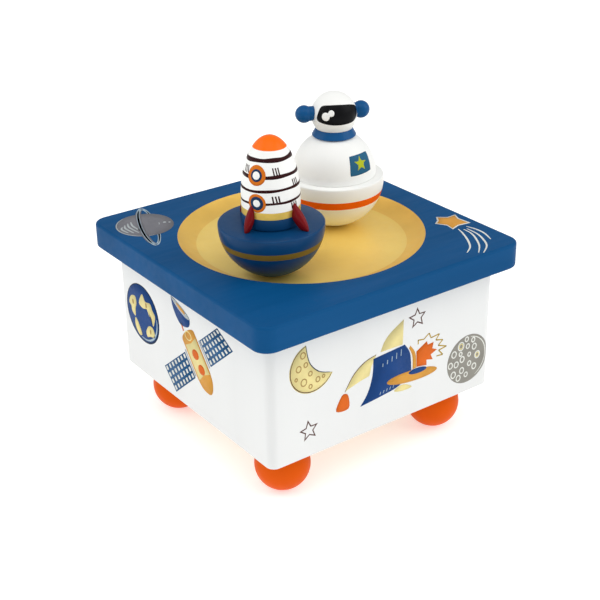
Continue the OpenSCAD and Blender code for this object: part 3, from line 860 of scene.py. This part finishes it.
def planet(picture):
    """Blue planet of radius 1 with pale land and a lit rim."""
    picture.disc((0, 0), 1.03, "navy")
    picture.up()
    picture.disc((-0.01, 0.01), 0.98, "blue")
    picture.up()
    picture.stroke(arc((0, 0), 0.90, -100, 8, 22), 0.07, "sky", taper=True)
    lands = [
        [(-0.73, 0.38), (-0.45, 0.47), (-0.38, 0.25), (-0.47, 0.02), (-0.50, -0.26), (-0.70, -0.16),
         (-0.74, 0.02), (-0.86, 0.12)],
        [(-0.10, 0.56), (0.06, 0.72), (0.22, 0.52), (0.52, 0.56), (0.66, 0.36), (0.80, 0.22), (0.76, 0.02),
         (0.64, -0.20), (0.56, 0.04), (0.42, 0.10), (0.28, 0.28), (0.06, 0.22), (-0.20, 0.30)],
        [(-0.52, -0.32), (-0.34, -0.44), (-0.14, -0.80), (-0.34, -0.86), (-0.54, -0.62)],
        [(0.36, -0.30), (0.62, -0.30), (0.70, -0.58), (0.42, -0.66), (0.22, -0.74), (0.16, -0.56)],
    ]
    for land in lands:
        picture.blob(spline(land, True, 5), "straw", rings=1)
    picture.up()
    for u, v in ((-0.60, 0.22), (0.26, 0.40), (0.44, -0.48)):
        picture.disc((u, v), 0.05, "tan", 1.8)
    picture.up(-3)


def satellite(picture):
    """Satellite with a dish, a capsule and two panels of cells."""
    centre = (4.3, 44.8)
    slope = radians(-51.8)

    def at(a, b):
        return centre[0] + a * cos(slope) - b * sin(slope), centre[1] + a * sin(slope) + b * cos(slope)

    for corners in (((7.3, 52.1), (19.6, 62.2), (29.2, 57.1), (14.2, 44.4)),
                    ((-3.5, 42.9), (-19.2, 30.2), (-11.6, 22.3), (3.1, 34.9))):
        def spot(s, t, corners=corners):
            a, b, c, d = corners
            return tuple((a[k] * (1 - s) + b[k] * s) * (1 - t) + (d[k] * (1 - s) + c[k] * s) * t
                         for k in (0, 1))

        columns, cells = 7, 4
        picture.fill(list(corners), "cell")
        picture.up()
        for column in range(columns):
            for cell in range(cells):
                s, s2 = (column + 0.28) / columns, (column + 0.74) / columns
                t, t2 = (cell + 0.16) / cells, (cell + 0.78) / cells
                picture.fill([spot(s, t), spot(s2, t), spot(s2, t2), spot(s, t2)], "pale")
        picture.up(-1)
    for side in (6.3, -6.3):
        picture.stroke([at(-4, side), at(6.6, side)], 0.9, "silver")
    picture.up()
    crown = [at(-7.6 - 1.9 * cos(b), 5.2 * sin(b)) for b in (radians(a) for a in range(-90, 91, 15))]
    nose = spline([at(8, 5.3), at(11.6, 4.4), at(14.3, 2.2), at(15.3, 0), at(14.3, -2.2), at(11.6, -4.4),
                   at(8, -5.3)], steps=4)
    picture.blob(crown + nose, "amber", at(2.5, 0))
    picture.up()
    waist = [at(-5.4, -4.4), at(8.6, -4.5), at(7.7, 0), at(8.6, 4.5), at(-5.4, 4.4), at(-4.7, 0)]
    picture.fill(waist, "straw")
    picture.ring(at(-7.6, 0), 2.1, 0.45, "straw", 0.8)
    picture.up()
    for a in (-0.3, 5.7):
        picture.disc(at(a, 0), 2.2, "orange", 0.9)
    picture.up(-2)
    picture.stroke([(-4.9, 54.2), (-3.5, 51.5)], 0.8, "orange")
    bowl = spline([(-11.3, 62.6), (-10.3, 58.7), (-7.5, 54.9), (-4.7, 53.4), (-0.7, 54.0), (1.0, 55.7),
                   (1.2, 58.1)], steps=4)
    picture.fill(bowl, "blue")
    picture.up()
    inside = spline([(-11.2, 62.6), (-6.7, 61.8), (-0.7, 59.4), (1.1, 57.8), (-2.1, 57.7), (-7.7, 59.9)],
                    True, 5)
    picture.blob(inside, "silver")
    picture.up()
    picture.blob(spline([(-7.7, 61.5), (-2.5, 59.9), (-2.1, 58.7), (-5.7, 59.7)], True, 4), "amber")
    picture.up(-3)


def spaceship(picture):
    """Blue spaceship with an orange nose and a flame behind."""
    wing = spline([(-2.3, 49.5), (-0.6, 53.1), (2.4, 56.0), (8.2, 59.3)], steps=5)
    picture.fill(wing + [(7.9, 49.3)], "straw")
    top = spline([(-18.2, 38.9), (-14.3, 44.5), (-9.4, 47.9), (-4.2, 49.2)], steps=5)
    picture.fill(top + [(-6.3, 45.1), (-7.2, 41.7)] + [(-11.6, 40.9), (-16.9, 39.5)], "straw")
    belly = spline([(4.4, 31.2), (8.3, 30.1), (12.7, 30.3), (9.6, 32.4), (6.5, 32.6)], True, 4)
    picture.blob(belly, "straw")
    picture.strip(spline([(11.6, 47.6), (14.1, 43.6), (14.7, 37.7)], steps=5),
                  spline([(10.9, 46.8), (12.6, 43.1), (12.9, 37.4)], steps=5), "amber")
    flame = [(14.8, 37.8), (14.5, 44.2), (16.6, 45.4), (19.4, 46.9), (19.9, 45.3), (22.7, 45.5),
             (22.2, 43.0), (24.5, 41.9), (21.5, 40.7), (22.5, 38.4), (19.5, 39.2), (19.6, 37.0)]
    picture.blob(flame, "orange", (17.6, 40.9))
    flare = [(15.3, 46.9), (15.2, 48.6), (17.9, 48.1), (20.4, 49.8), (21.4, 47.6), (25.4, 48.0),
             (23.8, 45.9), (27.2, 45.0), (25.0, 43.3), (29.1, 41.7), (25.3, 41.2), (27.4, 38.8),
             (24.4, 39.1)]
    for here, there in zip(flare, flare[1:]):
        picture.stroke([here, there], 0.5, "olive")
    picture.up()
    picture.stroke(top, 0.3, "brown", taper=True)
    nose = spline([(-22, 32.4), (-20, 37.2), (-18.4, 38.3), (-16.6, 36.9), (-16.5, 31.8)], True, 4)
    picture.blob(nose, "orange")
    edge = spline([(-5.5, 47.9), (-5.8, 41.4), (-7.8, 35.1), (-11.2, 30.5)], steps=5)
    keel = spline([(-11.2, 30.5), (-1.9, 31.4), (6.7, 32.9), (12.3, 37.4)], steps=5)
    stern = spline([(12.3, 37.4), (11.5, 44.6), (8.9, 48.9)], steps=5)
    picture.fill(edge + keel[1:] + stern[1:], "blue")
    picture.up()
    for i in range(5):
        picture.stroke([(-1.2 + 2.1 * i, 43.3 + 0.4 * i), (-1.1 + 2.1 * i, 44.6 + 0.75 * i)], 0.32, "sky")
        picture.stroke([(-2.3 + 1.5 * i, 32.2 + 0.2 * i), (-1.9 + 1.5 * i, 33.3 + 0.2 * i)], 0.28, "sky")
    picture.disc((12.8, 34.9), 12.0, "amber", 0.19, -5)
    picture.up()
    picture.disc((15.3, 36.2), 4.3, "blue", 0.26, -4)
    picture.up(-3)


def ringed_planet(picture):
    """Grey planet of radius 1 with craters, stripes and a tilted ring."""
    tilt = radians(69)

    def band(radius, start, end):
        out = []
        for i in range(31):
            a = radians(start + (end - start) * i / 30)
            u, v = radius * cos(a), radius * 0.17 * sin(a)
            out.append((0.04 + u * cos(tilt) - v * sin(tilt), -0.19 + u * sin(tilt) + v * cos(tilt)))
        return out

    for radius in (1.66, 1.54):
        picture.stroke(band(radius, 0, -180), 0.09, "sky", taper=True)
    picture.up()
    picture.disc((0, 0), 1, "stone")
    picture.up()
    picture.stroke(arc((0, 0), 0.975, 110, 260, 30), 0.035, "silver", taper=True)
    for i, reach in enumerate((0.36, 0.5, 0.6, 0.66)):
        u = -0.82 + 0.15 * i
        stripe = spline([(u + 0.10, reach * 0.75), (u - 0.02, 0.1), (u + 0.02, -reach * 0.8)], steps=6)
        picture.stroke(stripe, 0.07, "silver", taper=True)
    picture.stroke(band(1.57, 0, 180), 0.24, "stone", taper=True)
    picture.up()
    for radius in (1.69, 1.60, 1.51):
        picture.stroke(band(radius, 0, 180), 0.075, "sky", taper=True)
    picture.up(-1)
    picture.stroke([(0.42, -0.28), (0.50, -0.12)], 0.06, "silver", taper=True)
    picture.disc((0.66, -0.22), 0.06, "silver")
    picture.disc((0.80, -0.32), 0.04, "silver")
    picture.up(-2)


def shooting_star(picture):
    """Orange star with four curling tails, drawn in the lid's own millimetres."""
    body = [(47.6, -21.1), (45.6, -24.0), (43.0, -25.7), (45.4, -29.7), (44.7, -33.8), (48.8, -32.4),
            (54.1, -33.2), (53.5, -27.3), (55.0, -23.7), (51.0, -23.8)]
    centre = (48.9, -27.6)
    picture.blob(body, "pale", centre)
    picture.up()
    heart = [tuple(c + 0.87 * (p - c) for c, p in zip(centre, point)) for point in body]
    picture.blob(heart, "amber", centre)
    picture.up(-1)
    for line in (
        [(46.4, -34.8), (45.1, -38.6), (42.1, -44.6), (38.7, -49.4), (34.5, -52.4)],
        [(47.8, -36.2), (47.5, -40.5), (45.4, -45.4), (41.9, -50.8), (37.7, -54.9)],
        [(49.2, -36.4), (48.9, -42.2), (46.9, -47.8), (44.0, -52.4), (39.1, -56.0)],
        [(50.5, -34.7), (51.5, -38.8), (51.3, -43.5), (49.4, -48.8)],
    ):
        picture.stroke(spline(line, steps=7), 0.75, "pale", taper=True)


def case_picture(name, surface, draw, colours, offset=(0, 0), scale=1.0):
    """One picture on a panel or on the lid."""
    slot = "blue_paint" if surface is on_lid else "white_paint"
    picture = Picture(name, "case", surface, slot, {c: INKS[c] for c in colours})
    picture.offset = offset
    picture.scale = scale
    draw(picture)
    picture.make()


def outline_stars(name, surface, spots):
    """Small outlined stars scattered on a panel."""
    def draw(picture):
        for i, (u, v, radius, turn) in enumerate(spots):
            outline_star(picture, (u, v), radius, turn, i)

    case_picture(name, surface, draw, ["brown"])


MOON_INKS = ["straw", "brown", "navy", "tan"]
GREY_INKS = ["grey", "pale", "straw"]
PLANET_INKS = ["navy", "blue", "sky", "straw", "tan"]
SATELLITE_INKS = ["cell", "pale", "silver", "straw", "amber", "orange", "blue"]
SHIP_INKS = ["straw", "brown", "blue", "sky", "amber", "orange", "olive"]
RING_INKS = ["stone", "silver", "sky"]
STAR_INKS = ["pale", "amber"]


def pictures_on_case():
    """Space pictures: the front, left side and lid as seen, the other two sides in the same manner."""
    case_picture("front_crescent", on_front, crescent, MOON_INKS, (-32.8, 54.4), 9.3)
    case_picture("front_ship", on_front, spaceship, SHIP_INKS, (-0.9, 1.0), 0.996)
    case_picture("front_moon", on_front, grey_moon, GREY_INKS, (38.9, 33.6), 10.0)
    outline_stars("front_stars", on_front, [(-34.6, 30.1, 4.2, 96), (13.6, 58.7, 4.3, 92)])
    case_picture("left_planet", on_left, planet, PLANET_INKS, (-33.6, 46.3), 11.8)
    case_picture("left_satellite", on_left, satellite, SATELLITE_INKS)
    case_picture("lid_planet", on_lid, ringed_planet, RING_INKS, (-43.4, 40.4), 10.9)
    case_picture("lid_star", on_lid, shooting_star, STAR_INKS)

    case_picture("right_ship", on_right, spaceship, SHIP_INKS, (-8, 4), 0.95)
    case_picture("right_planet", on_right, planet, PLANET_INKS, (33, 52), 9.5)
    outline_stars("right_stars", on_right, [(-36, 31, 3.6, 92), (24, 30, 3.2, 84), (41, 34, 3.6, 100)])
    case_picture("back_moon", on_back, grey_moon, GREY_INKS, (-34, 40), 11)
    case_picture("back_crescent", on_back, crescent, MOON_INKS, (37, 46), 9)
    case_picture("back_satellite", on_back, satellite, SATELLITE_INKS, (-2, 3), 0.9)
    outline_stars("back_stars", on_back, [(-20, 59, 3.4, 98), (22, 28, 3.6, 88), (-14, 26, 3.0, 94)])


def on_ball(centre, radius, facing):
    """Surface of a ball, in degrees round and up from where it faces."""
    def surface(u, v, h):
        a, e = radians(facing + u), radians(v)
        r = radius + h
        return centre[0] + r * cos(a) * cos(e), centre[1] + r * sin(a) * cos(e), centre[2] + r * sin(e)

    return surface


def on_rocket(facing):
    """Surface of the rocket's body: millimetres round from a direction, and height."""
    def surface(u, v, h):
        a = radians(facing) + u / ROCKET_R
        r = rocket_radius(v) + h
        return ROCKET[0] + r * cos(a), ROCKET[1] + r * sin(a), v

    return surface


def rocket_paint():
    """Hand-drawn stripes with short ticks, and two pairs of portholes."""
    colours = {"maroon": MAROON, "orange": RIM_ORANGE, "navy": NAVY, "white": FIGURE_WHITE}
    picture = Picture("rocket_stripes", "rocket", on_rocket(-124.4), "white_paint", colours)
    around = tau * ROCKET_R
    hand = random.Random(7)
    for height, width in ((104.3, 0.85), (108.8, 0.95), (113.4, 1.15), (118.8, 1.3)):
        phases = [hand.random() * tau for _ in range(3)]
        lean = ROCKET_R * tan(radians(2.5))
        low, high = [], []
        for i in range(ROUND):
            a = tau * i / ROUND
            wander = 0.07 * sin(3 * a + phases[0]) + 0.03 * sin(7 * a + phases[1])
            z = height + lean * sin(a) * rocket_radius(height) / ROCKET_R + wander
            half = width / 2 * (1 + 0.12 * sin(5 * a + phases[2]))
            low.append((around * i / ROUND, z - half))
            high.append((around * i / ROUND, z + half))
        picture.strip(low, high, "maroon", closed=True)
    ticks = [(13, 115.3), (-62, 115.3), (57, 110.6), (10, 105.9), (50, 102.7)]
    for degrees_round, height in ticks + [(spot + 180, height) for spot, height in ticks]:
        for k in (-1, 0, 1):
            u = radians(degrees_round + 6 * k) * ROCKET_R
            foot = u + 0.2 + 0.2 * hand.random()
            picture.stroke([(u - 0.2, height + 1.2), (foot, height - 1.2)], 0.55, "maroon")
    picture.up()
    # degrees round, height, and the radii of the rim, the glass and the white eye
    portholes = ((-31, 113.9, 3.4, 2.1, 1.35), (-28, 104.4, 3.3, 2.4, 1.3))
    for turned in (0, 180):
        for degrees_round, height, rim, glass, eye in portholes:
            stretch = ROCKET_R / rocket_radius(height)
            u = radians(degrees_round + turned) * ROCKET_R
            for radius, colour in ((rim, "orange"), (glass, "navy"), (eye, "white")):
                picture.blob(oval((u, height), radius * stretch, radius, 36), colour, (u, height), 5)
                picture.up()
            picture.up(-3)
    picture.make()


def astronaut_paint():
    """Dark visor with two painted glints, white dots standing for highlights, and a badge with a star on the
    chest.
    """
    head = on_ball((*ASTRONAUT, HEAD_Z), HEAD_R, FACING)
    colours = {"visor": VISOR, "white": FIGURE_WHITE}
    picture = Picture("astronaut_visor", "astronaut", head, "white_paint", colours)
    visor = spline([(-53, 33), (-30, 38), (2, 39), (42, 34), (72, 21), (64, 3), (44, -9), (15, -12),
                    (-16, -12), (-44, -9), (-61, -3), (-60, 14)], True, 6)
    picture.blob(visor, "visor", (0, 14), 14)
    picture.up()
    # two white dots on the visor: painted highlights
    for u, v, radius in ((-36, 9, 1.55), (-22, 18, 1.2)):
        wide = degrees(radius / HEAD_R)
        picture.blob(oval((u, v), wide, wide, 32), "white", (u, v), 4)
    picture.make()

    chest = on_ball((*ASTRONAUT, DOME_CENTRE), DOME_R, FACING)
    colours = {"blue": INKS["teal"], "star": STAR_GREEN}
    picture = Picture("astronaut_badge", "astronaut", chest, "white_paint", colours)
    badge = spline([(8, 11.5), (9, 24), (10.5, 35), (13, 36.5), (30, 37), (49, 36.5), (51, 34), (48.5, 24),
                    (46, 13), (43, 11), (27, 10), (11, 9.7)], True, 5)
    picture.blob(badge, "blue", (29, 23.5), 8)
    picture.up()
    across = degrees(1 / DOME_R)
    middle_u, middle_v = 28, 24
    points = [(middle_u + u * across / cos(radians(middle_v)), middle_v + v * across)
              for u, v in star(2.9, 0.44, 84, 5)]
    picture.blob(points, "star", (middle_u, middle_v), 4)
    picture.make()


# ---------------------------------------------------------------- floor, lights and camera

def studio():
    """Plain pale floor, an even white surround and soft lamps on both sides and above."""
    mesh = bpy.data.meshes.new("floor")
    size = 6.0
    corners = [(-size, -size, 0), (size, -size, 0), (size, size, 0), (-size, size, 0)]
    mesh.from_pydata(corners, [], [(0, 1, 2, 3)])
    floor = put("floor", mesh)
    paper = finish("floor_paper", (0.80, 0.80, 0.79), 0.85, 0.01, 4, relief=0.05, specular=0.05)
    shader = paper.node_tree.nodes["Principled BSDF"]
    shader.inputs["Emission Color"].default_value = (1, 1, 0.99, 1)
    shader.inputs["Emission Strength"].default_value = 0.5
    mesh.materials.append(paper)

    world = bpy.data.worlds.new("surround")
    world.use_nodes = True
    world.node_tree.nodes["Background"].inputs["Color"].default_value = (1, 1, 1, 1)
    world.node_tree.nodes["Background"].inputs["Strength"].default_value = 0.50
    bpy.context.scene.world = world

    target = Vector((0, 0, 0.06))
    for name, place, size, power in (
        ("right", (0.85, -0.85, 0.9), 1.1, 8.0),
        ("left", (-0.9, 0.65, 0.85), 1.1, 6.2),
        ("above", (-0.3, -0.4, 1.3), 1.0, 4.4),
    ):
        light = bpy.data.lights.new(name, "AREA")
        light.size = size
        light.energy = power
        lamp = put(name, light)
        lamp.location = place
        lamp.rotation_euler = (target - Vector(place)).to_track_quat("-Z", "Y").to_euler()


def camera():
    """Looks down on the front-left corner, as the photograph does."""
    azimuth, elevation, roll = radians(-35.752), radians(26.306), radians(-0.884)
    target = Vector((4.257, 7.478, 45.769))
    distance = 491.719
    back = Vector((sin(azimuth) * cos(elevation), -cos(azimuth) * cos(elevation), sin(elevation)))
    right = (-back).cross(Vector((0, 0, 1))).normalized()
    up = right.cross(-back)
    right, up = right * cos(roll) + up * sin(roll), up * cos(roll) - right * sin(roll)
    data = bpy.data.cameras.new("camera")
    data.lens = 76.02
    data.sensor_width = 36
    data.clip_start = 0.01
    data.clip_end = 50
    eye = put("camera", data)
    place = (target + back * distance) * MM
    eye.matrix_world = Matrix.Translation(place) @ Matrix((right, up, back)).transposed().to_4x4()
    bpy.context.scene.camera = eye


dress_frame()
lid()
case_shell()
feet()
winding_key()
rocket_bowl()
rocket_hull()
rocket_fins()
astronaut_bowl()
astronaut_body()
astronaut_ears()
pictures_on_case()
rocket_paint()
astronaut_paint()
studio()
camera()
bpy.context.scene.view_settings.view_transform = "Standard"
